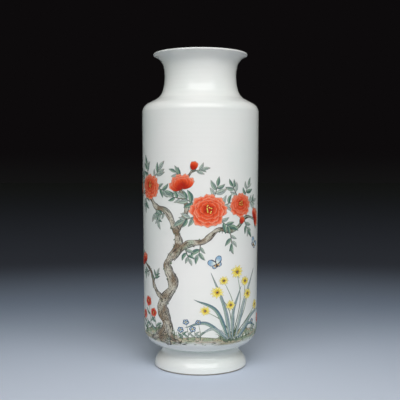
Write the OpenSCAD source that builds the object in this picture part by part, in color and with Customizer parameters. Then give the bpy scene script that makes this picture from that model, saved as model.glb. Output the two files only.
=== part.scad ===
// Rouleau vase on a splayed foot. Five thrown and turned porcelain sections are
// luted together with slip, then coated with glaze inside, outside and under the
// base. Millimetres, +Z up. The origin is the middle of the foot rim, on the table.

/* [Foot] */
// Diameter of the foot at its widest, just above the bare rim
foot_d = 86; // [82:0.5:92]
// Diameter of the crease between foot and body
crease_d = 69.6; // [66:0.2:71.6]
// Height from the table to the underside of the body
foot_h = 20.2; // [18:0.1:26]
// Radius of the rounded flange of the foot
foot_swell_r = 13; // [9:0.5:15]
// Width of the foot wall at the rim
foot_rim_w = 6.5; // [5:0.25:8]
// Width of the foot wall at its luted top
foot_root_w = 6; // [5:0.25:9]
// Rounding of the two edges of the bare rim, where the glaze stops
foot_edge_r = 1.3; // [0.8:0.1:1.8]
// Radius of the glaze pooled in the crease
crease_r = 1.8; // [1.5:0.1:3]

/* [Body] */
// Diameter of the body above its heel
body_low_d = 105.8; // [104:0.2:114]
// Diameter of the body below its shoulder
body_top_d = 108.4; // [100:0.2:114]
// Height from the underside of the body to the turn of the shoulder
body_h = 215.3; // [180:0.1:250]
// Radius of the heel, where the side turns in to the underside
heel_r = 17; // [12:0.5:18]
// Radius between the side and the floor, inside
inside_heel_r = 13; // [8:0.5:18]
// Radius of the corner between side and shoulder
corner_r = 9.75; // [7:0.25:11]
// Slope of the shoulder from the horizontal, in degrees
shoulder_slope = 28; // [22:0.5:33]

/* [Neck] */
// Diameter of the neck at its narrowest
neck_d = 66.5; // [62:0.5:70]
// Height from the turn of the shoulder to the top of the lip
neck_h = 54.5; // [50:0.5:62]
// Height of the narrowest place above the turn of the shoulder
waist_h = 33.7; // [31:0.1:36]
// Radius of the long hollow curve of the neck
waist_r = 45; // [38:0.5:60]
// Radius of the sweep from the shoulder into the neck
neck_sweep_r = 14; // [10:0.5:17]
// Radius of the everted curve under the lip
flare_r = 14.25; // [10:0.25:17]
// Radius of the everted curve inside the mouth
inside_flare_r = 18.5; // [15:0.5:24]
// Diameter of the mouth over its lip
mouth_d = 87.4; // [82:0.2:92]
// Thickness of the rounded lip
lip_t = 1.8; // [1.4:0.1:2.6]

/* [Walls and coats] */
// Thickness of the finished wall, with a coat of glaze on both sides
wall_t = 3.6; // [3:0.1:4.6]
// Thickness of the finished floor
floor_t = 5.5; // [4:0.1:7]
// Thickness of a coat of glaze
glaze_t = 0.3; // [0.2:0.05:0.45]

/* [Luted joints] */
// Thickness of the slip in a joint
slip_t = 0.8; // [0.5:0.1:1.4]
// Rise of the joint faces on the body towards the inside, in degrees
joint_bevel = 20; // [0:1:30]
// Height of the joint between the halves of the body, above its underside
body_joint_h = 105; // [80:1:130]
// Depth of the straight skirt of the shoulder section
shoulder_skirt = 10; // [7:0.5:16]
// Place of the neck joint on the hollow curve: 0 at the shoulder, 1 at the flare
neck_joint_ratio = 0.25; // [0.15:0.05:0.6]

/* [Hidden] */

// Colours
clay_colour = [0.87, 0.83, 0.76];
slip_colour = [0.92, 0.89, 0.84];
glaze_colour = [0.90, 0.92, 0.91];

// Roundness of the turned pieces
turn_steps = 180;
// Largest turn between two points of a curve, in degrees
arc_angle = 3;
// Points closer than this are one point
same_point = 0.02;

// Levels above the table
body_z = foot_h;
shoulder_z = body_z + body_h;
waist_z = shoulder_z + waist_h;
total_h = shoulder_z + neck_h;
floor_z = body_z + floor_t;
// Underside of the clay body, above its coat of glaze
clay_z = body_z + glaze_t;
// Top of the foot ring, under its slip
root_z = clay_z - slip_t;

// Radii
foot_r = foot_d / 2;
root_r = crease_d / 2;
body_low_r = body_low_d / 2;
body_top_r = body_top_d / 2;
neck_r = neck_d / 2;
mouth_r = mouth_d / 2;
lip_r = lip_t / 2;

// An arc is [centre, radius, first angle, last angle, bulges]. It bulges where its centre
// lies inwards of the surface, and is hollow where it lies outwards, so one arc gives
// every surface that runs parallel to it, sunk inwards by a depth.
BULGE = true;
HOLLOW = false;

function unit(angle) = [cos(angle), sin(angle)];
function angle_of(v) = (atan2(v.y, v.x) + 360) % 360;
function reversed(points) = [for (i = [len(points) - 1 : -1 : 0]) points[i]];
function sunk(arc, depth) =
    let (radius = arc[4] ? arc[1] - depth : arc[1] + depth)
    [arc[0], radius, arc[2], arc[3], arc[4]];
function arc_points(arc) =
    let (turn = arc[3] - arc[2], n = ceil(abs(turn) / arc_angle))
    [for (i = [0 : n]) arc[0] + arc[1] * unit(arc[2] + turn * i / n)];
function trace(arcs, depth = 0) = [for (arc = arcs) each arc_points(sunk(arc, depth))];
function distinct(points) =
    [for (i = [0 : len(points) - 1])
        if (i == 0 || norm(points[i] - points[i - 1]) > same_point) points[i]];

// Where a circle about a meets a circle about b, on the right of the way from a to b
function meet(a, a_r, b, b_r) =
    let (
        d = norm(b - a),
        along = (a_r * a_r - b_r * b_r + d * d) / (2 * d),
        across = sqrt(a_r * a_r - along * along),
        u = (b - a) / d
    )
    a + along * u + across * [u.y, -u.x];

// Glaze pooled in the crease, between the upright top of the foot and the heel
heel_c = [body_low_r - heel_r, body_z + heel_r];
crease_x = root_r + crease_r;
crease_over = max(0, crease_x - heel_c.x);
crease_z = heel_c.y - sqrt(pow(heel_r + crease_r, 2) - pow(crease_over, 2));
crease_end = 90 + asin(crease_over / (heel_r + crease_r));
crease = [[crease_x, crease_z], crease_r, 180, crease_end, HOLLOW];

// Foot: a rounded flange that sweeps up into a hollow, both upright at their ends
foot_rise = crease_z - foot_edge_r;
foot_reach = foot_r - root_r;
foot_radii = (foot_reach * foot_reach + foot_rise * foot_rise) / (2 * foot_reach);
foot_hollow_r = foot_radii - foot_swell_r;
foot_turn = atan2(foot_rise, foot_radii - foot_reach);
foot_swell = [[foot_r - foot_swell_r, foot_edge_r], foot_swell_r, 0, foot_turn, BULGE];
foot_hollow = [[root_r + foot_hollow_r, crease_z], foot_hollow_r, 180 + foot_turn, 180, HOLLOW];

// Body: the heel, bare and glazed, the straight side and the corner of the shoulder
heel = [heel_c, heel_r, -90, 0, BULGE];
glazed_heel = [heel_c, heel_r, crease_end - 180, 0, BULGE];
shoulder_turn = 90 - shoulder_slope;
corner = [[body_top_r - corner_r, shoulder_z], corner_r, 0, shoulder_turn, BULGE];
function side_r(z) =
    let (low_z = body_z + heel_r)
    body_low_r + (body_top_r - body_low_r) * (z - low_z) / (shoulder_z - low_z);
inside_heel_z = floor_z + inside_heel_r;
inside_heel_c = [side_r(inside_heel_z) - wall_t - inside_heel_r, inside_heel_z];
inside_heel = [inside_heel_c, inside_heel_r, -90, 0, BULGE];

// Neck: the sweep out of the shoulder's slope, the hollow curve, the flare and the lip
waist_c = [neck_r + waist_r, waist_z];
slope_out = unit(shoulder_turn);
slope_up = [-slope_out.y, slope_out.x];
sweep_start = corner[0] + (corner_r + neck_sweep_r) * slope_out;
sweep_gap = sweep_start - waist_c;
sweep_half = sweep_gap * slope_up;
sweep_rest = sweep_gap * sweep_gap - pow(waist_r - neck_sweep_r, 2);
sweep_c = sweep_start + (sqrt(sweep_half * sweep_half - sweep_rest) - sweep_half) * slope_up;
sweep_end = angle_of(sweep_c - waist_c);
neck_sweep = [sweep_c, neck_sweep_r, 180 + shoulder_turn, sweep_end, HOLLOW];
lip_c = [mouth_r - lip_r, total_h - lip_r];
flare_c = meet(lip_c, flare_r + lip_r, waist_c, waist_r - flare_r);
waist_end = angle_of(flare_c - waist_c);
flare_end = angle_of(lip_c - flare_c);
flare = [flare_c, flare_r, waist_end, flare_end, HOLLOW];

// Inside the mouth the wall thins towards the lip
inside_flare_c =
    meet(lip_c, inside_flare_r - lip_r, waist_c, waist_r + wall_t - inside_flare_r);
inside_waist_end = angle_of(inside_flare_c - waist_c);
lip_end = angle_of(lip_c - inside_flare_c);
inside_flare = [inside_flare_c, inside_flare_r, inside_waist_end, lip_end, HOLLOW];

// The outer and inner coats meet this far short of the inner end of the lip, in degrees
coat_angle = 40;
lip_outside = [lip_c, lip_r, flare_end - 180, lip_end - coat_angle, BULGE];
lip_inside = [lip_c, lip_r, lip_end - coat_angle, lip_end, BULGE];

// The neck joint runs square through the wall, so it splits the hollow curve
neck_joint = sweep_end + (waist_end - sweep_end) * neck_joint_ratio;
slip_half_turn = asin(slip_t / 2 / waist_r);
function waist_part(first, last, depth = 0) =
    sunk([waist_c, waist_r, first, last, HOLLOW], depth);
waist_below = waist_part(sweep_end, neck_joint + slip_half_turn);
waist_slip = waist_part(neck_joint + slip_half_turn, neck_joint - slip_half_turn);
waist_above = waist_part(neck_joint - slip_half_turn, waist_end);
inside_waist = waist_part(neck_joint - slip_half_turn, inside_waist_end, wall_t);

// The curves of the finished outside and inside, section by section
shoulder_arcs = [corner, neck_sweep, waist_below];
inside_shoulder_arcs = [for (arc = shoulder_arcs) sunk(arc, wall_t)];
inside_slip = sunk(waist_slip, wall_t);
mouth_arcs = [waist_above, flare];
inside_mouth_arcs = [inside_waist, inside_flare];

// The joints on the straight side rise inwards
body_joint_z = body_z + body_joint_h;
shoulder_joint_z = shoulder_z - shoulder_skirt;
function joint_point(z, depth) =
    let (rise_z = z + depth * tan(joint_bevel))
    [side_r(rise_z) - depth, rise_z];
function outer_joint(z) = joint_point(z, glaze_t);
function inner_joint(z) = joint_point(z, wall_t - glaze_t);
function below_slip(z) = z - slip_t / 2;
function above_slip(z) = z + slip_t / 2;
// Levels of the joint faces up the side, below and above the slip of each joint
side_faces = [for (z = [body_joint_z, shoulder_joint_z]) each [below_slip(z), above_slip(z)]];

// Inner face of the foot, an open cone
recess_low_r = foot_r - foot_rim_w;
recess_top_r = root_r - foot_root_w;
function recess_r(z) =
    recess_low_r + (recess_top_r - recess_low_r) * (z - foot_edge_r) / (clay_z - foot_edge_r);

// A piece turned about the axis from its half section
module turned(points) {
    rotate_extrude($fn = turn_steps) polygon(distinct(points));
}

// A stretch of the straight side between two joint faces
module side_ring(low, high) {
    turned([outer_joint(low), outer_joint(high), inner_joint(high), inner_joint(low)]);
}

module foot_ring() {
    rim_out = [[foot_r - glaze_t - foot_edge_r, foot_edge_r], foot_edge_r, -90, 0, BULGE];
    rim_in = [[recess_low_r + foot_edge_r, foot_edge_r], foot_edge_r, 180, 270, BULGE];
    color(clay_colour) turned(concat(
        trace([rim_out]),
        trace([foot_swell, foot_hollow], glaze_t),
        [[root_r - glaze_t, root_z], [recess_r(root_z), root_z]],
        trace([rim_in])
    ));
}

module foot_slip() {
    color(slip_colour) turned([
        [recess_r(root_z), root_z],
        [root_r - glaze_t, root_z],
        [root_r - glaze_t, clay_z],
        [recess_r(clay_z), clay_z]
    ]);
}

module lower_body() {
    joint_z = below_slip(body_joint_z);
    color(clay_colour) turned(concat(
        [[0, clay_z]],
        trace([heel], glaze_t),
        [outer_joint(joint_z), inner_joint(joint_z)],
        reversed(trace([inside_heel], -glaze_t)),
        [[0, floor_z - glaze_t]]
    ));
}

module body_slip() {
    color(slip_colour) side_ring(below_slip(body_joint_z), above_slip(body_joint_z));
}

module upper_body() {
    color(clay_colour) side_ring(above_slip(body_joint_z), below_slip(shoulder_joint_z));
}

module shoulder_slip() {
    color(slip_colour) side_ring(below_slip(shoulder_joint_z), above_slip(shoulder_joint_z));
}

module shoulder() {
    joint_z = above_slip(shoulder_joint_z);
    color(clay_colour) turned(concat(
        [inner_joint(joint_z), outer_joint(joint_z)],
        trace(shoulder_arcs, glaze_t),
        reversed(trace(inside_shoulder_arcs, -glaze_t))
    ));
}

module neck_slip() {
    color(slip_colour) turned(concat(
        trace([waist_slip], glaze_t),
        reversed(trace([inside_slip], -glaze_t))
    ));
}

module neck() {
    color(clay_colour) turned(concat(
        trace(mouth_arcs, glaze_t),
        trace([lip_outside, lip_inside], glaze_t),
        reversed(trace(inside_mouth_arcs, -glaze_t))
    ));
}

module outer_glaze() {
    upper_arcs = concat(shoulder_arcs, [waist_slip], mouth_arcs, [lip_outside]);
    clay_side = concat(
        trace([foot_swell, foot_hollow], glaze_t),
        [[root_r - glaze_t, root_z], [root_r - glaze_t, clay_z]],
        trace([heel], glaze_t),
        [for (z = side_faces) outer_joint(z)],
        trace(upper_arcs, glaze_t)
    );
    color(glaze_colour) turned(concat(
        trace([foot_swell, foot_hollow, crease, glazed_heel]),
        trace(upper_arcs),
        reversed(clay_side)
    ));
}

module inner_glaze() {
    upper_arcs = concat(inside_shoulder_arcs, [inside_slip], inside_mouth_arcs);
    clay_side = concat(
        [[0, floor_z - glaze_t]],
        trace([inside_heel], -glaze_t),
        [for (z = side_faces) inner_joint(z)],
        trace(upper_arcs, -glaze_t),
        reversed(trace([lip_inside], glaze_t))
    );
    color(glaze_colour) turned(concat(
        clay_side,
        trace([lip_inside]),
        reversed(trace(upper_arcs)),
        reversed(trace([inside_heel])),
        [[0, floor_z]]
    ));
}

module base_glaze() {
    color(glaze_colour) turned([
        [recess_r(foot_edge_r), foot_edge_r],
        [recess_r(root_z), root_z],
        [recess_r(clay_z), clay_z],
        [0, clay_z],
        [0, body_z],
        [recess_r(body_z) - glaze_t, body_z],
        [recess_r(foot_edge_r) - glaze_t, foot_edge_r]
    ]);
}

foot_ring();
foot_slip();
lower_body();
body_slip();
upper_body();
shoulder_slip();
shoulder();
neck_slip();
neck();
outer_glaze();
inner_glaze();
base_glaze();
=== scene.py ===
import math
import random

import bmesh
import bpy
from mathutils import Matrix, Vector


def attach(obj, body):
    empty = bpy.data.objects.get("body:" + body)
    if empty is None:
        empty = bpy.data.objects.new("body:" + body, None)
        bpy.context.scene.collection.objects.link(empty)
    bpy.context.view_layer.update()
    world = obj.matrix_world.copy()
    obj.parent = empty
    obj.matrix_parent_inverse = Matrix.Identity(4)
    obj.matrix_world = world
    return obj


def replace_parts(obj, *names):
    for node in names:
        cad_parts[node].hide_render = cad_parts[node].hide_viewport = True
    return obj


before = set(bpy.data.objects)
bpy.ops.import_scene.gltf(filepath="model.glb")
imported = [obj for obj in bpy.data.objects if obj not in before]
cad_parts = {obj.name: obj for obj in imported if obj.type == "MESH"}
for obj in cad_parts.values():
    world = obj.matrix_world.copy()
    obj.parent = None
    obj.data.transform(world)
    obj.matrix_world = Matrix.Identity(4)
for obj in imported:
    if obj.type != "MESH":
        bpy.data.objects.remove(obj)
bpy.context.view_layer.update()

MM = 0.001
chance = random.Random(7)


def colour(red, green, blue):
    """A colour as it should look on screen, from 0 to 255, for a node socket."""
    def linear(level):
        level /= 255
        return level / 12.92 if level <= 0.04045 else ((level + 0.055) / 1.055) ** 2.4
    return (linear(red), linear(green), linear(blue), 1.0)


# Materials


class Wire:
    """The value of a node's output. Arithmetic on it adds Math nodes to its material."""

    def __init__(self, finish, socket):
        self.finish = finish
        self.socket = socket

    def reckon(self, operation, *values):
        sockets = dict(enumerate(values))
        return self.finish.node("ShaderNodeMath", {"operation": operation}, sockets)

    def __add__(self, other):
        return self.reckon("ADD", self, other)

    def __radd__(self, other):
        return self.reckon("ADD", other, self)

    def __sub__(self, other):
        return self.reckon("SUBTRACT", self, other)

    def __rsub__(self, other):
        return self.reckon("SUBTRACT", other, self)

    def __mul__(self, other):
        return self.reckon("MULTIPLY", self, other)

    def __rmul__(self, other):
        return self.reckon("MULTIPLY", other, self)

    def __abs__(self):
        return self.reckon("ABSOLUTE", self)

    def fraction(self):
        return self.reckon("FRACT", self)

    def wave(self):
        return self.reckon("SINE", self)

    def most(self, other):
        return self.reckon("MAXIMUM", self, other)


class Finish:
    """A procedural material, or the world, under construction."""

    def __init__(self, tree):
        self.tree = tree

    def node(self, kind, settings=None, sockets=None, out=0):
        """Adds a node: first its settings, then the values or wires of its sockets."""
        made = self.tree.nodes.new(kind)
        for setting, value in (settings or {}).items():
            setattr(made, setting, value)
        for socket, value in (sockets or {}).items():
            self.plug(made.inputs[socket], value)
        return Wire(self, made.outputs[out]) if made.outputs else None

    def plug(self, socket, value):
        if isinstance(value, Wire):
            self.tree.links.new(value.socket, socket)
        else:
            socket.default_value = value

    def blend(self, share, first, second):
        """The first colour, or the second where share is 1."""
        settings = {"data_type": "RGBA"}
        return self.node("ShaderNodeMix", settings, {0: share, 6: first, 7: second}, out=2)

    def step(self, value, low, high):
        """A smooth rise from 0 at low to 1 at high, or a fall where low is above high."""
        settings = {"interpolation_type": "SMOOTHSTEP"}
        start, end = (0.0, 1.0) if low < high else (1.0, 0.0)
        sockets = {0: value, 1: min(low, high), 2: max(low, high), 3: start, 4: end}
        return self.node("ShaderNodeMapRange", settings, sockets)

    def vector(self, x, y, z):
        return self.node("ShaderNodeCombineXYZ", None, {0: x, 1: y, 2: z})

    def parts(self, vector):
        split = self.node("ShaderNodeSeparateXYZ", None, {0: vector})
        outputs = split.socket.node.outputs
        return [Wire(self, output) for output in outputs]

    def noise(self, vector, scale, detail=2.0):
        sockets = {"Vector": vector, "Scale": scale, "Detail": detail}
        return self.node("ShaderNodeTexNoise", None, sockets)

    def cells(self, vector, scale, out):
        """Cells about scattered points: the distance to the nearest, or a colour for each."""
        sockets = {"Vector": vector, "Scale": scale}
        return self.node("ShaderNodeTexVoronoi", None, sockets, out)

    def place(self):
        """The point on the vase, in metres."""
        return self.node("ShaderNodeTexCoord", out="Object")

    def paint(self):
        """How far along and across its stroke a point is, how far from its edge, and its tone."""
        mark = self.node("ShaderNodeAttribute", {"attribute_name": "paint"}, out="Vector")
        tone = self.node("ShaderNodeAttribute", {"attribute_name": "tone"}, out="Fac")
        return self.parts(mark) + [tone]


class Surface(Finish):
    """A material with a Principled shader."""

    def __init__(self, name, **constants):
        self.material = bpy.data.materials.new(name)
        self.material.use_nodes = True
        super().__init__(self.material.node_tree)
        self.shader = self.tree.nodes["Principled BSDF"]
        for socket, value in constants.items():
            self.set(socket.replace("_", " "), value)

    def set(self, socket, value):
        self.plug(self.shader.inputs[socket], value)

    def bump(self, height, distance):
        sockets = {"Distance": distance, "Height": height}
        self.set("Normal", self.node("ShaderNodeBump", None, sockets))


# Glaze, bare clay and slip

GLAZE_WHITE = colour(233, 232, 230)
GLAZE_COOL = colour(227, 230, 227)
GLAZE_POOL = colour(212, 220, 214)
IRON_SPECK = colour(150, 128, 104)
BISCUIT = colour(222, 214, 200)
# Tan of the burnt rim, made darker than burnt clay alone as painted shade for the dark line along
# the foot rim; it also colours flecks in the grain
BISCUIT_BURN_AND_SHADE = colour(142, 131, 119)
SLIP_CREAM = colour(232, 226, 212)
GLAZE_IOR = 1.55
CLAY_IOR = 1.45
POOL_REACH = 3.5 * MM
POOL_CORE = 0.5 * MM
SPECK_SCALE = 130.0
RING_SCALE = 1500.0
BURN_AND_SHADE_REACH = 0.6 * MM
BURN_AND_SHADE_DRIFT = 0.4 * MM
GLAZE_RELIEF = 0.12 * MM
BISCUIT_RELIEF = 0.12 * MM
SLIP_RELIEF = 0.1 * MM


def glaze_finish():
    """Clear glaze on white porcelain: cool where it pools, with faint rings from the wheel."""
    coat = Surface("clear_glaze", IOR=GLAZE_IOR)
    place = coat.place()
    height = coat.parts(place)[2]
    drift = coat.noise(place, 14.0)
    pool = coat.step(abs(height - FOOT_H * MM), POOL_REACH, POOL_CORE)
    tint = coat.blend(coat.step(drift, 0.35, 0.7), GLAZE_WHITE, GLAZE_COOL)
    tint = coat.blend(pool * 0.8, tint, GLAZE_POOL)
    speck = coat.step(coat.cells(place, SPECK_SCALE, "Distance"), 0.055, 0.03)
    chance_of_speck = coat.parts(coat.cells(place, SPECK_SCALE, "Color"))[0]
    chosen = coat.step(chance_of_speck, 0.975, 0.985)
    coat.set("Base Color", coat.blend(speck * chosen * 0.45, tint, IRON_SPECK))
    coat.set("Roughness", 0.015 + 0.025 * coat.noise(place, 60.0))
    rings = (height * RING_SCALE + drift * 9.0).wave() * 0.09
    skin = coat.noise(place, 420.0) * 0.03 + coat.noise(place, 45.0) * 0.5
    coat.bump(rings + skin, GLAZE_RELIEF)
    return coat.material


def biscuit_finish():
    """Bare fired clay: fine grain, and a tan, burnt band next to the glaze, darkened further as
    painted shade along the foot rim.
    """
    clay = Surface("porcelain_biscuit", IOR=CLAY_IOR)
    place = clay.place()
    height = clay.parts(place)[2]
    grain = clay.noise(place, 900.0, detail=4.0)
    cloud = clay.noise(place, 70.0)
    # Painted shade: the burnt band above the rim's lowest edge is darkened along the foot rim
    burn_and_shade = clay.step(height + BURN_AND_SHADE_DRIFT * cloud, 0.0, BURN_AND_SHADE_REACH)
    tint = clay.blend(burn_and_shade * (0.5 + 0.5 * cloud), BISCUIT, BISCUIT_BURN_AND_SHADE)
    tint = clay.blend(clay.step(grain, 0.62, 0.75) * 0.35, tint, BISCUIT_BURN_AND_SHADE)
    clay.set("Base Color", tint)
    clay.set("Roughness", 0.62 + 0.25 * grain)
    clay.bump(grain, BISCUIT_RELIEF)
    return clay.material


def slip_finish():
    """Dried luting slip: smooth and chalky, with small air pits."""
    paste = Surface("luting_slip", IOR=CLAY_IOR)
    place = paste.place()
    pits = paste.step(paste.cells(place, 700.0, "Distance"), 0.28, 0.12)
    cloud = paste.noise(place, 120.0)
    paste.set("Base Color", paste.blend(pits * 0.5 + cloud * 0.3, SLIP_CREAM, BISCUIT))
    paste.set("Roughness", 0.7 + 0.2 * cloud)
    paste.bump(cloud - pits, SLIP_RELIEF)
    return paste.material


# Enamels: the base colour of each follows its brush strokes

INK = colour(52, 48, 46)
ENAMEL_IOR = 1.48
ENAMEL_RELIEF = 0.06 * MM


def enamel_gloss(enamel, relief):
    """The fired gloss of an enamel, over the relief of its strokes."""
    enamel.set("Roughness", 0.2 + 0.14 * enamel.noise(enamel.place(), 180.0))
    enamel.bump(relief, ENAMEL_RELIEF)
    return enamel.material


def coral_finish():
    """Coral red petals: deep at the root, pale at the rim, with a fine red outline."""
    deep = colour(178, 36, 18)
    bright = colour(230, 84, 42)
    blush = colour(250, 190, 160)
    line = colour(128, 36, 26)
    petal = Surface("coral_enamel", IOR=ENAMEL_IOR)
    along, across, edge, tone = petal.paint()
    brushed = petal.vector(along * 1.2, across * 7.0, tone * 31.0)
    streak = petal.noise(brushed, 1.6, detail=3.0)
    tint = petal.blend(petal.step(along, 0.3, 0.9), deep, bright)
    rim = petal.step(along + 0.3 * (streak - 0.5), 0.78, 1.06)
    tint = petal.blend(rim * (0.2 + 0.7 * tone), tint, blush)
    tint = petal.blend(petal.step(streak, 0.52, 0.78) * 0.55, tint, deep)
    tint = petal.blend(petal.step(edge, 0.34, 0.16) * 0.8, tint, line)
    petal.set("Base Color", tint)
    return enamel_gloss(petal, streak)


def gold_finish():
    """Yellow petals with a brown line round each."""
    gold = colour(214, 160, 38)
    lemon = colour(240, 220, 84)
    cream = colour(250, 243, 190)
    line = colour(132, 104, 48)
    petal = Surface("yellow_enamel", IOR=ENAMEL_IOR)
    along, _, edge, tone = petal.paint()
    tint = petal.blend(petal.step(along, 0.05, 0.5), gold, lemon)
    tint = petal.blend(petal.step(along, 0.45, 0.95) * (0.35 + 0.6 * tone), tint, cream)
    tint = petal.blend(petal.step(edge, 0.22, 0.08) * 0.75, tint, line)
    petal.set("Base Color", tint)
    return enamel_gloss(petal, along)


def leaf_finish(name, dark, light, tip, line, veins):
    """A leaf with one half dark and one light, side veins and a dark midrib and outline."""
    enamel = Surface(name, IOR=ENAMEL_IOR)
    along, across, edge, tone = enamel.paint()
    brushed = enamel.vector(along * 3.0, across * 1.6, tone * 23.0)
    wash = enamel.noise(brushed, 1.5, detail=3.0)
    half = enamel.step(across + 0.5 * (wash - 0.5), -0.12, 0.12)
    tint = enamel.blend(half * (0.55 + 0.45 * wash), dark, light)
    worn = enamel.step(along + 0.5 * wash, 0.95, 1.25) * enamel.step(tone, 0.35, 0.8)
    tint = enamel.blend(worn * 0.75, tint, tip)
    tint = enamel.blend(enamel.step(tone, 0.2, 0.9) * 0.8 * wash, tint, GLAZE_WHITE)
    rib = enamel.step(abs(across), 0.13, 0.05) * 0.8
    vein = abs((along * veins - abs(across) * 0.9).fraction() - 0.5)
    side = enamel.step(vein, 0.1, 0.04) * enamel.step(abs(across), 0.98, 0.6) * 0.45
    border = enamel.step(edge, 0.3, 0.12) * 0.85
    drawn = rib.most(side).most(border)
    enamel.set("Base Color", enamel.blend(drawn, tint, line))
    return enamel_gloss(enamel, wash)


def bark_finish():
    """Old bark: grey-brown washes with lichen greens, dark cracks and a rough outline."""
    pale = colour(206, 200, 184)
    brown = colour(142, 122, 98)
    lichen = colour(166, 184, 162)
    slate = colour(126, 136, 144)
    enamel = Surface("bark_enamel", IOR=ENAMEL_IOR)
    along, across, edge, tone = enamel.paint()
    place = enamel.place()
    cloud = enamel.noise(place, 95.0, detail=3.0)
    brushed = enamel.vector(along * 34.0, across * 2.2, tone * 9.0)
    crack = enamel.noise(brushed, 1.3, detail=4.0)
    tint = enamel.blend(enamel.step(cloud, 0.38, 0.62), brown, pale)
    tint = enamel.blend(enamel.step(enamel.noise(place, 60.0), 0.52, 0.66) * 0.8, tint, lichen)
    tint = enamel.blend(enamel.step(across, -0.3, -1.0) * 0.6, tint, slate)
    dark = enamel.step(abs(crack - 0.5), 0.05, 0.012) * 0.8
    rim = enamel.step(edge + 0.7 * (crack - 0.5), 0.5, 0.18) * 0.85
    enamel.set("Base Color", enamel.blend(dark.most(rim), tint, INK))
    return enamel_gloss(enamel, crack)


def ground_finish():
    """A grassy rise: a drawn top edge, and a thin wash under it that fades away."""
    straw = colour(218, 202, 170)
    moss = colour(158, 178, 140)
    blush = colour(222, 198, 178)
    pencil = colour(92, 86, 70)
    enamel = Surface("bank_enamel", IOR=ENAMEL_IOR)
    along, across, edge, tone = enamel.paint()
    brushed = enamel.vector(along * 7.0, across * 1.1, tone * 19.0)
    wash = enamel.noise(brushed, 1.0, detail=4.0)
    cloud = enamel.noise(enamel.place(), 60.0)
    tint = enamel.blend(enamel.step(wash, 0.42, 0.6), moss, straw)
    tint = enamel.blend(enamel.step(cloud, 0.5, 0.62) * 0.7, tint, blush)
    hatched = enamel.vector(along * 50.0, across * 1.6, tone * 7.0)
    hatch = abs(enamel.noise(hatched, 1.0) - 0.5)
    dark = enamel.step(hatch, 0.06, 0.015) * enamel.step(across, -0.4, 0.8) * 0.7
    top = enamel.step(edge, 0.45, 0.2) * enamel.step(across, 0.2, 0.8)
    line = top * enamel.step(wash, 0.36, 0.5)
    enamel.set("Base Color", enamel.blend(dark.most(line), tint, pencil))
    faded = enamel.step(across + 0.8 * (wash - 0.5), -0.7, 0.6)
    soft = faded * enamel.step(abs(along - 0.5), 0.5, 0.36)
    enamel.set("Alpha", (soft * 0.75).most(line * 0.7))
    return enamel_gloss(enamel, wash)


def wing_finish():
    """Butterfly wings: pale blue with a dark scalloped border and fine ribs."""
    sky = colour(142, 178, 208)
    milk = colour(232, 236, 226)
    navy = colour(52, 66, 96)
    amber = colour(226, 176, 70)
    wing = Surface("wing_enamel", IOR=ENAMEL_IOR)
    along, across, edge, tone = wing.paint()
    tint = wing.blend(wing.step(along, 0.1, 0.8), milk, sky)
    tint = wing.blend(wing.step(tone, 0.5, 0.7) * wing.step(along, 0.9, 0.2), tint, amber)
    rib = wing.step(abs((across * 2.5).fraction() - 0.5), 0.09, 0.03) * 0.5
    border = wing.step(edge + 0.25 * (across * 9.0).wave(), 0.8, 0.5)
    wing.set("Base Color", wing.blend(rib.most(border), tint, navy))
    return enamel_gloss(wing, along)


def line_finish(name, dark, light):
    """Brush lines: denser at the start of the stroke than at its end."""
    brush = Surface(name, IOR=ENAMEL_IOR)
    along, across, _, tone = brush.paint()
    brushed = brush.vector(along * 9.0, across * 2.0, tone * 17.0)
    dry = brush.noise(brushed, 1.4, detail=3.0)
    share = brush.step(along, 0.2, 1.0) * 0.6 + 0.45 * (dry - 0.3)
    brush.set("Base Color", brush.blend(share, dark, light))
    return enamel_gloss(brush, dry)


# The turned outline of the vase, in millimetres, as in the CAD part

# Foot
FOOT_R = 43.0
FOOT_H = 20.2
FOOT_SWELL_R = 13.0
FOOT_EDGE_R = 1.3
ROOT_R = 34.8
ROOT_W = 6.0
RIM_W = 6.5
POOL_R = 1.8

# Upright collar of glaze above the foot, which stands out further than in the CAD part
COLLAR_R = 36.2
COLLAR_Z = 16.0
COLLAR_POOL_R = 1.2

# Body and shoulder
BODY_LOW_R = 52.9
BODY_TOP_R = 54.2
HEEL_R = 17.0
INSIDE_HEEL_R = 13.0
CORNER_R = 9.75
SHOULDER_SLOPE = 28.0
SHOULDER_Z = FOOT_H + 215.3

# Neck and mouth
NECK_R = 33.25
WAIST_Z = SHOULDER_Z + 33.7
WAIST_R = 45.0
SWEEP_R = 14.0
FLARE_R = 14.25
INSIDE_FLARE_R = 18.5
MOUTH_R = 43.7
TOP_Z = SHOULDER_Z + 54.5
LIP_R = 0.9
COATS_MEET = 40.0

# Wall and coats
WALL = 3.6
FLOOR_Z = FOOT_H + 5.5
GLAZE = 0.3

# How finely the curves are cut, and what counts as one point or one smooth face
ARC_STEP = 3.0
TURN_SLICES = 12
SLICE_STEPS = 16
SAME_POINT = 0.01
WELD = 0.001
SMOOTH_ANGLE = 32.0


def away(angle):
    return Vector((math.cos(math.radians(angle)), math.sin(math.radians(angle))))


def bearing(vector):
    return math.degrees(math.atan2(vector.y, vector.x)) % 360


def meet(a, a_r, b, b_r):
    """Where a circle about a meets one about b, on the right of the way from a to b."""
    gap = (b - a).length
    ahead = (a_r * a_r - b_r * b_r + gap * gap) / (2 * gap)
    aside = math.sqrt(a_r * a_r - ahead * ahead)
    way = (b - a) / gap
    return a + ahead * way + aside * Vector((way.y, -way.x))


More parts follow.
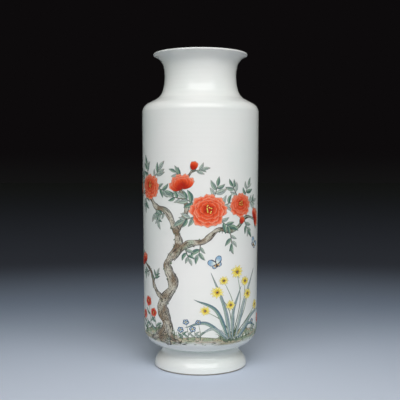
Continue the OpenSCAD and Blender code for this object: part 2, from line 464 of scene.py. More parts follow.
class Arc:
    """A curve of the outline. It bulges where its centre lies inwards of the surface."""

    def __init__(self, centre, radius, first, last, bulges):
        self.centre = Vector(centre)
        self.radius = radius
        self.first = first
        self.last = last
        self.bulges = bulges

    def sunk(self, depth):
        """The parallel curve that lies inwards by a depth."""
        radius = self.radius - depth if self.bulges else self.radius + depth
        return Arc(self.centre, radius, self.first, self.last, self.bulges)

    def points(self):
        turn = self.last - self.first
        count = max(1, math.ceil(abs(turn) / ARC_STEP))
        angles = [self.first + turn * i / count for i in range(count + 1)]
        return [self.centre + self.radius * away(angle) for angle in angles]


def trace(arcs, depth=0.0):
    """The points of a row of curves, sunk inwards by a depth."""
    return [point for arc in arcs for point in arc.sunk(depth).points()]


def pool_arc(root_r, radius, heel_c):
    """The pool of glaze in the crease, from an upright foot to the heel of the body."""
    over = max(0.0, root_r + radius - heel_c.x)
    z = heel_c.y - math.sqrt((HEEL_R + radius) ** 2 - over ** 2)
    end = 90 + math.degrees(math.asin(over / (HEEL_R + radius)))
    return Arc((root_r + radius, z), radius, 180, end, False)


def foot_arcs(root_r, top_z):
    """The swelling of the foot and its hollow, up to where it stands upright."""
    reach, rise = FOOT_R - root_r, top_z - FOOT_EDGE_R
    radii = (reach * reach + rise * rise) / (2 * reach)
    hollow_r = radii - FOOT_SWELL_R
    turn = math.degrees(math.atan2(rise, radii - reach))
    return [
        Arc((FOOT_R - FOOT_SWELL_R, FOOT_EDGE_R), FOOT_SWELL_R, 0, turn, True),
        Arc((root_r + hollow_r, top_z), hollow_r, 180 + turn, 180, False),
    ]


def outline_arcs():
    """The curves of the finished outside from the foot to the lip, and of the inside."""
    heel_c = Vector((BODY_LOW_R - HEEL_R, FOOT_H + HEEL_R))
    clay_foot = foot_arcs(ROOT_R, pool_arc(ROOT_R, POOL_R, heel_c).centre.y)
    foot = foot_arcs(COLLAR_R, COLLAR_Z)
    pool = pool_arc(COLLAR_R, COLLAR_POOL_R, heel_c)
    heel = Arc(heel_c, HEEL_R, -90, 0, True)
    glazed_heel = Arc(heel_c, HEEL_R, pool.last - 180, 0, True)

    # The sweep runs off the straight slope of the shoulder and into the waist of the neck
    turn = 90 - SHOULDER_SLOPE
    corner = Arc((BODY_TOP_R - CORNER_R, SHOULDER_Z), CORNER_R, 0, turn, True)
    waist_c = Vector((NECK_R + WAIST_R, WAIST_Z))
    out = away(turn)
    up = Vector((-out.y, out.x))
    start = corner.centre + (CORNER_R + SWEEP_R) * out
    gap = start - waist_c
    half = gap.dot(up)
    rest = gap.dot(gap) - (WAIST_R - SWEEP_R) ** 2
    sweep_c = start + (math.sqrt(half * half - rest) - half) * up
    sweep_end = bearing(sweep_c - waist_c)
    shoulder = [corner, Arc(sweep_c, SWEEP_R, 180 + turn, sweep_end, False)]

    # The flare runs from the waist into the lip, and so does the curve inside it
    lip_c = Vector((MOUTH_R - LIP_R, TOP_Z - LIP_R))
    flare_c = meet(lip_c, FLARE_R + LIP_R, waist_c, WAIST_R - FLARE_R)
    waist_end = bearing(flare_c - waist_c)
    flare_end = bearing(lip_c - flare_c)
    inner_c = meet(lip_c, INSIDE_FLARE_R - LIP_R, waist_c, WAIST_R + WALL - INSIDE_FLARE_R)
    inner_end = bearing(inner_c - waist_c)
    lip_end = bearing(lip_c - inner_c)
    mouth = [
        Arc(waist_c, WAIST_R, sweep_end, waist_end, False),
        Arc(flare_c, FLARE_R, waist_end, flare_end, False),
        Arc(lip_c, LIP_R, flare_end - 180, lip_end - COATS_MEET, True),
    ]

    inside_heel_z = FLOOR_Z + INSIDE_HEEL_R
    inside_heel_x = side_r(inside_heel_z) - WALL - INSIDE_HEEL_R
    inside = [Arc((inside_heel_x, inside_heel_z), INSIDE_HEEL_R, -90, 0, True)]
    inside += [arc.sunk(WALL) for arc in shoulder]
    inside += [
        Arc(waist_c, WAIST_R + WALL, sweep_end, inner_end, False),
        Arc(inner_c, INSIDE_FLARE_R, inner_end, lip_end, False),
    ]
    lip_inside = Arc(lip_c, LIP_R, lip_end - COATS_MEET, lip_end, True)
    return clay_foot, foot, pool, heel, glazed_heel, shoulder + mouth, inside, lip_inside


def side_r(z):
    """Radius of the straight side."""
    low_z = FOOT_H + HEEL_R
    return BODY_LOW_R + (BODY_TOP_R - BODY_LOW_R) * (z - low_z) / (SHOULDER_Z - low_z)


def add_piece(name, bm, material):
    """Makes a piece of the object from a finished bmesh in metres."""
    for face in bm.faces:
        face.smooth = True
    for edge in bm.edges:
        edge.smooth = edge.calc_face_angle(0.0) < math.radians(SMOOTH_ANGLE)
    mesh = bpy.data.meshes.new(name)
    bm.to_mesh(mesh)
    bm.free()
    mesh.materials.append(material)
    piece = bpy.data.objects.new(name, mesh)
    bpy.context.scene.collection.objects.link(piece)
    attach(piece, "root")
    return piece


def lathe(name, outline, closed, material):
    """A coat of glaze turned from its half section, which is open where it meets the axis."""
    section = outline[:1]
    for point in outline[1:]:
        if (point - section[-1]).length > SAME_POINT:
            section.append(point)
    bm = bmesh.new()
    verts = [bm.verts.new((r * MM, 0.0, z * MM)) for r, z in section]
    ends = verts[1:] + verts[:1] if closed else verts[1:]
    edges = [bm.edges.new(pair) for pair in zip(verts, ends)]
    axis = {"cent": (0, 0, 0), "axis": (0, 0, 1)}
    angle = math.tau / TURN_SLICES
    bmesh.ops.spin(bm, geom=verts + edges, angle=angle, steps=SLICE_STEPS, **axis)
    whole_slice = bm.verts[:] + bm.edges[:] + bm.faces[:]
    more = TURN_SLICES - 1
    bmesh.ops.spin(bm, geom=whole_slice, angle=angle * more, steps=more, use_duplicate=True, **axis)
    bmesh.ops.remove_doubles(bm, verts=bm.verts, dist=WELD * MM)
    bmesh.ops.recalc_face_normals(bm, faces=bm.faces)
    return add_piece(name, bm, material)


def glaze_coats(material):
    clay_foot, foot, pool, heel, glazed_heel, upper, inside, lip_inside = outline_arcs()
    clay_z = FOOT_H + GLAZE
    clay_side = trace(clay_foot, GLAZE)
    clay_side += [Vector((ROOT_R - GLAZE, clay_z))]
    clay_side += trace([heel] + upper, GLAZE)
    outside = trace(foot + [pool, glazed_heel] + upper) + clay_side[::-1]
    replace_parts(lathe("glaze_outside", outside, True, material), "outer_glaze")

    clay_cup = [Vector((0, FLOOR_Z - GLAZE))]
    clay_cup += trace(inside, -GLAZE) + trace([lip_inside], GLAZE)[::-1]
    cup = trace([lip_inside]) + trace(inside)[::-1] + [Vector((0, FLOOR_Z))]
    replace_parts(lathe("glaze_inside", clay_cup + cup, False, material), "inner_glaze")

    low_r = FOOT_R - RIM_W
    rise_r = (ROOT_R - ROOT_W - low_r) / (clay_z - FOOT_EDGE_R)
    glazed_r = low_r + rise_r * (FOOT_H - FOOT_EDGE_R) - GLAZE
    base = [
        Vector((0, clay_z)),
        Vector((ROOT_R - ROOT_W, clay_z)),
        Vector((low_r, FOOT_EDGE_R)),
        Vector((low_r - GLAZE, FOOT_EDGE_R)),
        Vector((glazed_r, FOOT_H)),
        Vector((0, FOOT_H)),
    ]
    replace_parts(lathe("glaze_under_base", base, False, material), "base_glaze")


# Painting. Shapes are laid out flat, in millimetres: u runs round the vase from the middle
# of the front, v runs up it, and the third value is how high the enamel stands.

PAINT_R = 53.5
TIP_HALF = 0.04

# The lower side of each slab starts out below zero, and is then rooted at one depth
SLAB = 2.0
SINK = 0.05


def on_vase(u, v, lift):
    """The point of the vase under a point of the flat design, in metres."""
    low_z = FOOT_H + HEEL_R
    if v > low_z:
        radius, z = side_r(v) + lift, v
    else:
        fall = (low_z - v) / HEEL_R
        radius = BODY_LOW_R - HEEL_R + (HEEL_R + lift) * math.cos(fall)
        z = low_z - (HEEL_R + lift) * math.sin(fall)
    turn = u / PAINT_R
    return (radius * math.sin(turn) * MM, -radius * math.cos(turn) * MM, z * MM)


def on_curve(points, s):
    """A point of the smooth line through the points, at s from 0 to 1."""
    span = min(max(s, 0.0), 1.0) * (len(points) - 1)
    i = min(int(span), len(points) - 2)
    t = span - i
    b, c = Vector(points[i]), Vector(points[i + 1])
    a = Vector(points[i - 1]) if i else 2 * b - c
    d = Vector(points[i + 2]) if i + 2 < len(points) else 2 * c - b
    return b + 0.5 * t * (c - a + t * (2 * a - 5 * b + 4 * c - d + t * (3 * (b - c) + d - a)))


def beside(points, s, offset):
    """A point to the left of the smooth line, going along it."""
    ahead = on_curve(points, s + 0.01) - on_curve(points, s - 0.01)
    ahead.normalize()
    return on_curve(points, s) + offset * Vector((-ahead.y, ahead.x))


class Enamel:
    """All the shapes painted in one enamel, as thin slabs rooted in the glaze."""

    def __init__(self):
        self.bm = bmesh.new()
        self.mark = self.bm.verts.layers.float_vector.new("paint")
        self.tone = self.bm.verts.layers.float.new("tone")

    def patch(self, shape, along, across, lift, tone):
        """A grid laid out by shape(s, t), which gives a point and its distance from the edge."""
        grid = bmesh.ops.create_grid(self.bm, x_segments=along, y_segments=across, size=1)
        for vert in grid["verts"]:
            s, t = (vert.co.x + 1) / 2, vert.co.y
            u, v, edge = shape(s, t)
            vert[self.mark] = (s, t, edge)
            vert[self.tone] = tone
            vert.co = (u, v, lift)

    def stroke(self, points, half, profile, lift, cell=1.2, across=2):
        """A brush stroke along a smooth line; profile(s) gives its half width as a share."""
        length = sum((Vector(b) - Vector(a)).length for a, b in zip(points, points[1:]))
        along = max(4, math.ceil(length / cell))

        def shape(s, t):
            reach = max(half * profile(s), TIP_HALF)
            point = beside(points, s, t * reach)
            ends = min(s, 1 - s) * length
            return point.x, point.y, min((1 - abs(t)) * reach, ends + 0.1)

        self.patch(shape, along, across, lift, chance.random())

    def petal(self, root, angle, length, half, lift, tone, squash=1.0, ripple=0.0, cells=(6, 6)):
        """A broad petal with a rounded, slightly wavy tip, pressed flat upwards by squash."""
        out = away(angle)
        side = Vector((-out.y, out.x))
        phase = chance.uniform(0, math.tau)

        def shape(s, t):
            wave = 1 + ripple * math.cos(7 * t + phase) * s ** 3
            reach = length * s * (1 - 0.3 * abs(t) ** 3) * wave
            width = half * (0.2 + 0.8 * math.sin(0.5 * math.pi * s ** 0.8)) * (1 - 0.15 * s ** 5)
            point = reach * out + t * width * side
            edge = min((1 - abs(t)) * width, (1 - s) * length * 1.2)
            return root[0] + point.x, root[1] + point.y * squash, edge

        self.patch(shape, *cells, lift, tone)

    def spot(self, centre, radius, lift):
        """A dab of the tip of the brush."""
        wide = radius * chance.uniform(0.8, 1.3)

        def shape(s, t):
            x = 2 * s - 1
            y = t * math.sqrt(1 - 0.9 * x * x)
            return centre[0] + wide * x, centre[1] + radius * y, radius * (1 - max(abs(x), abs(t)))

        self.patch(shape, 3, 3, lift, chance.random())

    def settle(self, name, material):
        """Gives the shapes their thickness and lays them on the vase."""
        bm = self.bm
        bmesh.ops.solidify(bm, geom=bm.faces[:], thickness=SLAB)
        for vert in bm.verts:
            lift = vert.co.z if vert.co.z > 0 else -SINK
            vert.co = on_vase(vert.co.x, vert.co.y, lift)
        bm.normal_update()
        add_piece(name, bm, material)


# Half width of each kind of stroke along its line, as a share


def leaf_profile(s):
    return math.sin(math.pi * s ** 0.75) ** 0.9 if 0 < s < 1 else 0.0


def blade_profile(s):
    return min(1.0, 0.25 + 3.0 * s) * (1 - s ** 2.2) ** 0.8 if s < 1 else 0.0


def stem_profile(s):
    return 1 - 0.55 * s


def hair_profile(s):
    return 1 - 0.85 * s


def trunk_profile(s):
    flare = 0.5 * max(0.0, 1 - s / 0.16) ** 2
    knots = 0.15 * math.sin(23 * s + 1.0) + 0.09 * math.sin(51 * s)
    return (1 - 0.6 * s) * (1 + flare + knots) * min(1.0, 0.3 + 20 * s)


def branch_profile(s):
    return (1 - 0.72 * s) * (1 + 0.14 * math.sin(31 * s + 2.0))


def mound_profile(s):
    return math.sin(math.pi * s) ** 0.6 if 0 < s < 1 else 0.0


# How high each kind of stroke stands, so that later ones lie over earlier ones
BANK_LIFT = 0.03
GRASS_LIFT = 0.07
STEM_LIFT = 0.08
BARK_LIFT = 0.09
CONTOUR_LIFT = 0.13
LEAF_LIFT = 0.15
BLOOM_LIFT = 0.2
LAYER = 0.006
LAYERS = 6

coral = Enamel()
yellow = Enamel()
leaves = Enamel()
blades = Enamel()
bark = Enamel()
bank = Enamel()
wings = Enamel()
ink = Enamel()
grass = Enamel()


def layer(base):
    """A height a little above the base, so that neighbours don't share one."""
    return base + LAYER * chance.randrange(LAYERS)


def near(place, reach):
    """A random point near a place."""
    return Vector(place) + chance.uniform(0, reach) * away(chance.uniform(0, 360))


def leaf(root, angle, length, half, bend=0.12):
    out = away(angle)
    aside = Vector((-out.y, out.x))
    start = Vector(root)
    middle = start + 0.5 * length * out + bend * length * aside
    points = [start, middle, start + length * out]
    leaves.stroke(points, half, leaf_profile, layer(LEAF_LIFT), cell=1.0, across=6)


# Leaves of a spray: place on the twig, turn from its direction, length
SPRAY = ((0.3, 50, 0.5), (0.5, -48, 0.58), (0.72, 42, 0.52), (0.86, -36, 0.42), (1.0, 4, 0.55))


def leaf_spray(root, angle, size):
    """A thin curved twig with pointed leaves in turn on its left and right."""
    out = away(angle)
    aside = Vector((-out.y, out.x)) * chance.uniform(-0.1, 0.1)
    twig = [Vector(root), root + 0.4 * size * (out + aside), root + 0.75 * size * out]
    bark.stroke(twig, 0.55, stem_profile, layer(STEM_LIFT), 1.0)
    for s, turn, share in SPRAY:
        length = size * share * chance.uniform(0.85, 1.15)
        leaf(on_curve(twig, s), angle + turn + chance.uniform(-10, 10), length, 0.19 * length,
             chance.uniform(-0.12, 0.12))


# Rings of a full blossom from the outside in: petals, reach, half width, rise of the centre
FULL_RINGS = (
    (8, 1.0, 0.46, 0.0),
    (7, 0.82, 0.42, 0.05),
    (6, 0.64, 0.36, 0.09),
    (5, 0.45, 0.27, 0.12),
)
RING_TWIST = 40


def blossom(centre, radius, angle):
    """A full flower seen a little from the side, its inner rings set higher."""
    lift = BLOOM_LIFT
    for depth, (count, reach, half, rise) in enumerate(FULL_RINGS):
        heart = Vector(centre) + rise * radius * away(angle)
        turns = [360 * i / count + RING_TWIST * depth for i in range(count)]
        for turn in sorted(turns, key=lambda degrees: -math.sin(math.radians(degrees))):
            way = turn + chance.uniform(-7, 7)
            length = radius * reach * chance.uniform(0.93, 1.05)
            tone = min(1.0, max(0.0, 0.9 - 0.22 * depth + chance.uniform(-0.1, 0.1)))
            coral.petal(heart, way, length, radius * half, lift, tone,
                        squash=0.86, ripple=0.05, cells=(8, 8))
            lift += LAYER
    for i in range(11):
        tip = heart + radius * chance.uniform(0.05, 0.22) * away(33 * i + chance.uniform(-12, 12))
        yellow.spot(tip, 0.035 * radius, lift + LAYER)


# Rings of an opening blossom from the back to the front: petals, spread, reach, half width
OPENING_RINGS = ((5, 66, 1.0, 0.34), (4, 48, 0.88, 0.36), (3, 26, 0.74, 0.38))


def opening_blossom(root, angle, size):
    """A cup of petals seen from the side, in two green sepals."""
    lift = BLOOM_LIFT
    for depth, (count, spread, reach, half) in enumerate(OPENING_RINGS):
        for i in range(count):
            turn = angle + spread * (2 * i / (count - 1) - 1) + chance.uniform(-4, 4)
            tone = 0.9 - 0.25 * depth
            coral.petal(root, turn, size * reach, size * half, lift, tone,
                        ripple=0.05, cells=(7, 6))
            lift += LAYER
    sepals(root, angle, 0.5 * size)


def bud(root, angle, size):
    """A closed flower: three wrapped petals in two green sepals."""
    lift = BLOOM_LIFT
    for turn, share in ((16, 0.92), (-16, 0.95), (0, 1.0)):
        coral.petal(root, angle + turn, size * share, 0.3 * size, lift, 0.35, cells=(6, 6))
        lift += LAYER
    sepals(root, angle, 0.6 * size)


def sepals(root, angle, size):
    start = Vector(root) - 0.15 * size * away(angle)
    for turn in (40, -40):
        leaf(start, angle + turn, size, 0.22 * size, 0.0)


def daisy(centre, radius):
    """A yellow garden flower: two rings of narrow petals round a dotted eye."""
    count = 11
    lift = BLOOM_LIFT
    for reach, shift in ((1.0, 0.0), (0.74, 0.5)):
        for i in range(count):
            turn = 360 * (i + shift) / count + chance.uniform(-7, 7)
            length = radius * reach * chance.uniform(0.82, 1.08)
            root = Vector(centre) + 0.14 * radius * away(turn)
            tone = chance.random()
            yellow.petal(root, turn, 0.86 * length, 0.15 * radius, lift, tone,
                         squash=0.82, cells=(5, 4))
            lift += LAYER / 3
    for _ in range(8):
        bark.spot(near(centre, 0.2 * radius), 0.07 * radius, lift + LAYER)


def pink(centre, radius):
    """A small red flower with five notched petals."""
    lift = BLOOM_LIFT
    start = chance.uniform(0, 72)
    for i in range(5):
        coral.petal(centre, start + 72 * i, radius, 0.55 * radius, lift, 0.9,
                    squash=0.88, ripple=0.12, cells=(5, 6))
        lift += LAYER
    for _ in range(6):
        yellow.spot(near(centre, 0.25 * radius), 0.08 * radius, lift)


def speedwell(centre, radius):
    """A small blue flower with five round petals and a yellow eye."""
    lift = BLOOM_LIFT
    start = chance.uniform(0, 72)
    for i in range(5):
        wings.petal(centre, start + 72 * i, radius, 0.52 * radius, lift, 0.2,
                    squash=0.85, cells=(5, 4))
        lift += LAYER
    yellow.spot(centre, 0.16 * radius, lift)


# Hind and fore wing of a butterfly: turn from its direction, reach, half width, tone
WINGS = ((118, 0.62, 0.3, 0.8), (52, 1.0, 0.4, 0.2))


def butterfly(centre, size, angle):
    """Two pairs of wings, a body and feelers, seen from above."""
    heart = Vector(centre)
    lift = LEAF_LIFT
    for side in (1, -1):
        for turn, reach, half, tone in WINGS:
            wings.petal(heart, angle + side * turn, size * reach, size * half, lift, tone,
                        cells=(8, 6))
            lift += LAYER
    ahead = away(angle)
    body = [heart - 0.42 * size * ahead, heart + 0.3 * size * ahead]
    ink.stroke(body, 0.07 * size, leaf_profile, lift, 0.6)
    for turn in (24, -24):
        bend = heart + 0.5 * size * away(angle + turn)
        tip = heart + 0.78 * size * away(angle + 1.5 * turn)
        ink.stroke([heart + 0.28 * size * ahead, bend, tip], 0.16, hair_profile, lift, 0.8)


def tuft(root, height, count):
    """Blades of grass fanning out from one place."""
    for _ in range(count):
        lean = 90 + chance.uniform(-34, 34)
        length = height * chance.uniform(0.5, 1.0)
        foot = root + Vector((chance.uniform(-1.8, 1.8), 0))
        middle = foot + 0.55 * length * away(lean)
        tip = foot + length * away(90 + 1.7 * (lean - 90))
        grass.stroke([foot, middle, tip], 0.32, hair_profile, layer(GRASS_LIFT), 1.4, across=1)


def stem(points, half):
    """A thin green stalk."""
    grass.stroke(points, half, stem_profile, layer(STEM_LIFT), 1.4)


def blade(points, half):
    """A long strap leaf."""
    blades.stroke(points, half, blade_profile, layer(LEAF_LIFT), 1.2, across=6)


# Broken ink lines along a bough: place across it, widest gap along it
BARK_LINES = ((1.0, 0.05), (-1.0, 0.05), (0.4, 0.2), (-0.35, 0.25))


def bough(points, half, profile):
    """A branch with broken ink lines along its sides, a few cracks, and dots of moss."""
    bark.stroke(points, half, profile, layer(BARK_LIFT), 1.0, across=8)
    for side, gap in BARK_LINES:
        s = chance.uniform(0.0, gap)
        while s < 0.9:
            span = chance.uniform(5.0, 14.0) / (20.0 * len(points))
            places = [min(1.0, s + span * i / 4) for i in range(5)]
            line = [beside(points, place, side * half * profile(place)) for place in places]
            ink.stroke(line, chance.uniform(0.22, 0.5), leaf_profile, CONTOUR_LIFT, 0.9)
            s += span + chance.uniform(0.2, 1.0) * gap
    for _ in range(round(half * len(points) * 0.5)):
        s = chance.random()
        patch = beside(points, s, chance.choice((-1, 1)) * half * profile(s))
        for _ in range(3):
            dots = chance.choice((ink, grass))
            dots.spot(near(patch, 1.3), chance.uniform(0.3, 0.55), CONTOUR_LIFT + LAYER)


# Layout of the design. A line is given by points that it runs through.

GROUND_V = 34
BED_ROOT = Vector((30, 35))

# Rises of the bank: line, half width
REAR_RISES = (
    ([(-70, 33), (-45, 37), (-16, 34)], 5.0),
    ([(10, 33), (40, 36.5), (74, 33)], 5.0),
    ([(-110, 31), (-92, 34), (-72, 32)], 4.0),
    ([(70, 32), (90, 35), (110, 31)], 4.0),
)
FRONT_RISES = (
    ([(-94, 27.5), (-62, 30.5), (-18, 27.5)], 4.6),
    ([(-42, 28.5), (-2, 32), (42, 28)], 5.0),
    ([(12, 27.5), (54, 30.5), (90, 28)], 4.6),
)

TRUNK = [(-39, 30), (-31, 45), (-37, 63), (-25, 82), (-31, 100), (-20, 116), (-22, 134)]
TRUNK_HALF = 6.6
RIGHT_BOUGH = [(-26, 106), (-12, 118), (3, 121), (16, 131), (31, 130), (46, 141), (59, 139)]
LEFT_BOUGH = [(-21, 128), (-31, 146), (-45, 151), (-59, 163), (-80, 160), (-98, 169)]
HIGH_BOUGH = [(-21, 130), (-12, 149), (-17, 166), (-7, 183)]
LOW_BOUGH = [(-33, 66), (-46, 77), (-53, 92), (-66, 99)]
LEFT_ROOT = [(-35, 42), (-45, 34), (-54, 31)]
RIGHT_ROOT = [(-30, 47), (-27, 36), (-18, 30)]

# Boughs and roots: line, half width
BOUGHS = (
    (RIGHT_ROOT, 3.4),
    (LEFT_ROOT, 3.4),
    (RIGHT_BOUGH, 3.2),
    (LEFT_BOUGH, 3.1),
    (HIGH_BOUGH, 2.5),
    (LOW_BOUGH, 2.4),
)

# Sprays of leaves on each bough: place along it, direction, size
SPRAYS = (
    (RIGHT_BOUGH, (
        (0.14, -70, 15), (0.3, -100, 16), (0.62, -80, 17), (0.8, -60, 16), (0.95, -20, 15),
    )),
    (LEFT_BOUGH, (
        (0.2, 200, 14), (0.4, -75, 17), (0.62, -95, 16), (0.78, 70, 16), (0.88, -80, 15),
        (1.0, 160, 17),
    )),
    (HIGH_BOUGH, ((0.3, 20, 14), (0.5, 170, 15), (0.85, 150, 15), (0.95, 15, 14))),
    (LOW_BOUGH, ((0.45, 60, 12), (0.7, 200, 13), (1.0, 140, 15))),
)

# Full blossoms: centre, radius, directions of the sprays behind
BLOSSOMS = (
    ((7, 147), 17.0, (150, 200, 70, 20, -35)),
    ((39, 152), 12.5, (120, 60, 10)),
    ((-53, 168), 13.5, (150, 110, 50, -10)),
)

# Opening blossoms: root, direction, size
OPENING_BLOSSOMS = (
    ((-16, 167), 105, 13),
    ((-84, 163), 80, 12),
    ((-66, 99), 120, 9),
    ((60, 139), 30, 10),
)

# Buds: bough, place along it, direction, size
BUDS = (
    (HIGH_BOUGH, 1.0, 70, 8),
    (RIGHT_BOUGH, 0.75, 60, 7),
    (LEFT_BOUGH, 1.0, 120, 9),
)

# Flowers in the bed: centre, radius
DAISIES = (
    ((15, 76), 6.4), ((35, 93), 7.0), ((49, 72), 6.2), ((28, 64), 5.4),
    ((64, 60), 5.8), ((4, 60), 5.2), ((45, 84), 5.6), ((21, 86), 5.0),
)
PINKS = (((-58, 64), 5.4), ((-67, 51), 5.0), ((-49, 55), 4.6), ((75, 46), 5.0), ((-80, 60), 4.8))
SPEEDWELLS = (
    (-13, 50), (-7, 44), (-18, 43), (-2, 50), (57, 46), (88, 50), (94, 44), (-92, 46), (-98, 52),
)

# Strap leaves: line, half width
STRAPS = (
    ([(26, 34), (14, 60), (-6, 70)], 1.9),
    ([(28, 34), (22, 62), (9, 94)], 2.0),
    ([(33, 34), (44, 66), (60, 94)], 2.0),
    ([(35, 34), (56, 52), (80, 55)], 1.9),
    ([(24, 34), (5, 49), (-14, 45)], 1.8),
    ([(37, 34), (50, 45), (66, 40)], 1.6),
    ([(30, 34), (31, 58), (40, 80)], 1.7),
    ([(27, 34), (11, 44), (-4, 36)], 1.5),
)

# Butterflies: centre, size, direction
BUTTERFLIES = (
    ((14, 101), 8.0, 115),
    ((60, 116), 7.0, 55),
    ((140, 158), 8.5, 75),
    ((162, 139), 6.5, 140),
)


def paint_bank():
    for lift, rises in ((BANK_LIFT, REAR_RISES), (BANK_LIFT + LAYER, FRONT_RISES)):
        for points, half in rises:
            bank.stroke(points, half, mound_profile, lift, 1.2, across=10)
            for _ in range(7):
                s = chance.uniform(0.1, 0.9)
                top = beside(points, s, 0.8 * half * mound_profile(s))
                tuft(top, chance.uniform(4, 10), 5)
                ink.spot(near(top, 2.5), 0.4, GRASS_LIFT)
    for _ in range(80):
        start = Vector((chance.uniform(-92, 92), chance.uniform(29.0, 33.5)))
        end = start + chance.uniform(1.5, 4.5) * away(chance.uniform(-14, 14))
        brush = chance.choice((ink, grass, grass))
        brush.stroke([start, end], 0.3, leaf_profile, layer(GRASS_LIFT), 0.9, across=1)


def paint_branch():
    for points, half in BOUGHS:
        bough(points, half, branch_profile)
    bough(TRUNK, TRUNK_HALF, trunk_profile)
    for points, places in SPRAYS:
        for s, angle, size in places:
            leaf_spray(on_curve(points, s), angle, size)
    for centre, radius, angles in BLOSSOMS:
        for angle in angles:
            root = Vector(centre) + 0.55 * radius * away(angle)
            leaf_spray(root, angle, 10 + 0.5 * radius)
        blossom(centre, radius, 90)
    for root, angle, size in OPENING_BLOSSOMS:
        opening_blossom(root, angle, size)
    for points, s, angle, size in BUDS:
        bud(on_curve(points, s), angle, size)


def paint_flower_bed():
    for head, radius in DAISIES:
        bend = BED_ROOT.lerp(Vector(head), 0.5) + Vector((0.12 * (head[1] - 40), 3))
        stem([BED_ROOT, bend, head], 0.45)
        daisy(head, radius)
    for points, half in STRAPS:
        blade(points, half)
    for shift in (-7, -3, 0, 3, 6):
        tuft(BED_ROOT + Vector((shift, -3)), chance.uniform(6, 10), 7)
    for head, radius in PINKS:
        root = Vector((head[0] + 4, GROUND_V))
        stalk = [root, root.lerp(Vector(head), 0.5) + Vector((1.5, 0)), head]
        stem(stalk, 0.45)
        for s, angle in ((0.3, 150), (0.4, 30), (0.6, 140)):
            leaf(on_curve(stalk, s), angle, 9, 1.1)
        pink(head, radius)
    for head in SPEEDWELLS:
        u = head[0] + 2
        stem([(u, GROUND_V), (u, GROUND_V + 6), head], 0.35)
        leaf((u, GROUND_V + 4), 40, 6, 0.9)
        leaf((u, GROUND_V + 3), 140, 6, 0.9)
        speedwell(head, chance.uniform(2.4, 3.2))


def paint_butterflies():
    for centre, size, angle in BUTTERFLIES:
        butterfly(centre, size, angle)


paint_bank()
paint_branch()
paint_flower_bed()
paint_butterflies()

coral.settle("coral_petals", coral_finish())
yellow.settle("yellow_petals", gold_finish())
leaves.settle("branch_leaves", leaf_finish(
    "leaf_enamel",
    dark=colour(86, 120, 110),
    light=colour(150, 178, 152),
    tip=colour(178, 138, 108),
    line=colour(44, 58, 60),
    veins=7.0,
))
blades.settle("strap_leaves", leaf_finish(
    "blade_enamel",
    dark=colour(92, 128, 138),
    light=colour(150, 178, 156),
    tip=colour(176, 170, 120),
    line=colour(48, 66, 84),
    veins=0.0,
))
bark.settle("branches", bark_finish())
bank.settle("grassy_bank", ground_finish())
wings.settle("butterfly_wings", wing_finish())
ink.settle("ink_lines", line_finish("ink_enamel", dark=INK, light=colour(112, 100, 88)))
grass.settle("grass_and_stems", line_finish(
    "grass_enamel",
    dark=colour(70, 92, 74),
    light=colour(140, 160, 120),
))

glaze_coats(glaze_finish())
bare_clay = biscuit_finish()
dry_slip = slip_finish()
for node_name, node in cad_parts.items():
    if not node.hide_render:
        node.data.materials.clear()
        node.data.materials.append(dry_slip if node_name.endswith("slip") else bare_clay)


# Floor, light and camera

FLOOR_HALF = 8.0
FLOOR_GAP = 0.1 * MM
# The floor colour holds a painted pool of light, palest about this point in front of the vase
LIGHT_POOL_CENTRE = (0.0, -0.4, 0.0)
PAPER_RELIEF = 0.05 * MM
FLOOR_LIT_CENTRE = colour(250, 246, 240)

# Painted pool of light: where each darker tone of the paper starts and is full, in metres from the
# pale centre in front
FLOOR_FALLOFF_TONES = (
    (0.1, 0.33, colour(214, 222, 236)),
    (0.17, 0.8, colour(142, 155, 174)),
    (0.44, 1.21, colour(63, 66, 74)),
    (1.5, 7.5, colour(81, 82, 83)),
)

BACKDROP = colour(13, 11, 12)
BACKDROP_LOW = colour(20, 20, 20)
GLOW = colour(247, 254, 238)
GLOW_LEAST = 0.02
GLOW_SIDES = 1.9
GLOW_BEHIND = 4.8
GLOW_TOP = 0.24

LAMP_TARGET = Vector((0, 0, 0.16))
CAMERA_PLACE = (-0.0004, -0.6973, 0.1855)
CAMERA_DIP = 2.535
LENS = 67.0
SENSOR = 36.0


def floor_finish():
    """Blue-grey paper with a painted pool of light: pale about a point in front, and falling to
    dark further away.
    """
    paper = Surface("studio_paper", Roughness=0.9, Specular_IOR_Level=0.0)
    place = paper.place()
    settings = {"operation": "DISTANCE"}
    reach = paper.node("ShaderNodeVectorMath", settings, {0: place, 1: LIGHT_POOL_CENTRE}, out="Value")
    # Painted pool of light: the colour darkens with distance from the point in front
    tint = FLOOR_LIT_CENTRE
    for start, full, tone in FLOOR_FALLOFF_TONES:
        tint = paper.blend(paper.step(reach, start, full), tint, tone)
    paper.set("Base Color", tint)
    paper.bump(paper.noise(place, 900.0), PAPER_RELIEF)
    return paper.material


def add_stage():
    bm = bmesh.new()
    bmesh.ops.create_grid(bm, x_segments=8, y_segments=8, size=FLOOR_HALF)
    bmesh.ops.translate(bm, verts=bm.verts, vec=(0, 0, -FLOOR_GAP))
    mesh = bpy.data.meshes.new("studio_floor")
    bm.to_mesh(mesh)
    bm.free()
    mesh.materials.append(floor_finish())
    floor = bpy.data.objects.new("studio_floor", mesh)
    bpy.context.scene.collection.objects.link(floor)


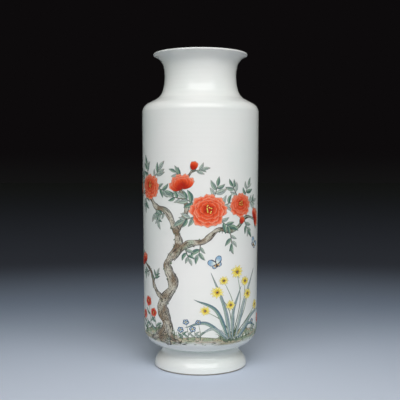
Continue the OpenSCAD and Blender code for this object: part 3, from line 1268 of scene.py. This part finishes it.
def add_lamp(name, shape, place, width, height, power):
    lamp = bpy.data.lights.new(name, "AREA")
    lamp.shape = shape
    lamp.size = width
    lamp.size_y = height
    lamp.energy = power
    holder = bpy.data.objects.new(name, lamp)
    holder.location = place
    way = LAMP_TARGET - Vector(place)
    holder.rotation_euler = way.to_track_quat("-Z", "Y").to_euler()
    bpy.context.scene.collection.objects.link(holder)
    return holder


def add_world():
    """A dark studio for the eye and for reflections, with a low glow from the sides and behind."""
    world = bpy.data.worlds.new("studio")
    bpy.context.scene.world = world
    world.use_nodes = True
    air = Finish(world.node_tree)
    air.tree.nodes.clear()
    path = air.node("ShaderNodeLightPath", out="Is Camera Ray")
    rays = path.socket.node.outputs
    mirrored = Wire(air, rays["Is Glossy Ray"])
    seen = path.most(mirrored).most(Wire(air, rays["Is Transmission Ray"]))
    right, back, up = air.parts(air.node("ShaderNodeTexCoord", out="Generated"))
    sides = air.step(right * right, 0.05, 0.6) * GLOW_SIDES
    behind = air.step(back, 0.1, 0.9) * GLOW_BEHIND
    low = air.step(up, GLOW_TOP, 0.0) * sides.most(behind)
    dark = air.blend(air.step(up, 0.025, -0.035), BACKDROP, BACKDROP_LOW)
    sockets = {
        "Color": air.blend(seen, GLOW, dark),
        "Strength": seen + (1.0 - seen) * (GLOW_LEAST + low),
    }
    light = air.node("ShaderNodeBackground", None, sockets)
    air.node("ShaderNodeOutputWorld", None, {"Surface": light})


def add_camera():
    lens = bpy.data.cameras.new("camera")
    lens.sensor_width = SENSOR
    lens.lens = LENS
    holder = bpy.data.objects.new("camera", lens)
    holder.location = CAMERA_PLACE
    holder.rotation_euler = (math.radians(90 - CAMERA_DIP), 0, 0)
    bpy.context.scene.collection.objects.link(holder)
    bpy.context.scene.camera = holder


add_stage()
add_lamp("softbox", "RECTANGLE", (0.1, -1.68, 2.12), width=3.7, height=1.7, power=51.0)
fill = add_lamp("softbox_middle", "ELLIPSE", (0.14, -1.95, 1.68), width=1.6, height=1.3, power=25.0)
fill.visible_glossy = False
add_world()
add_camera()
bpy.context.scene.view_settings.view_transform = "Standard"
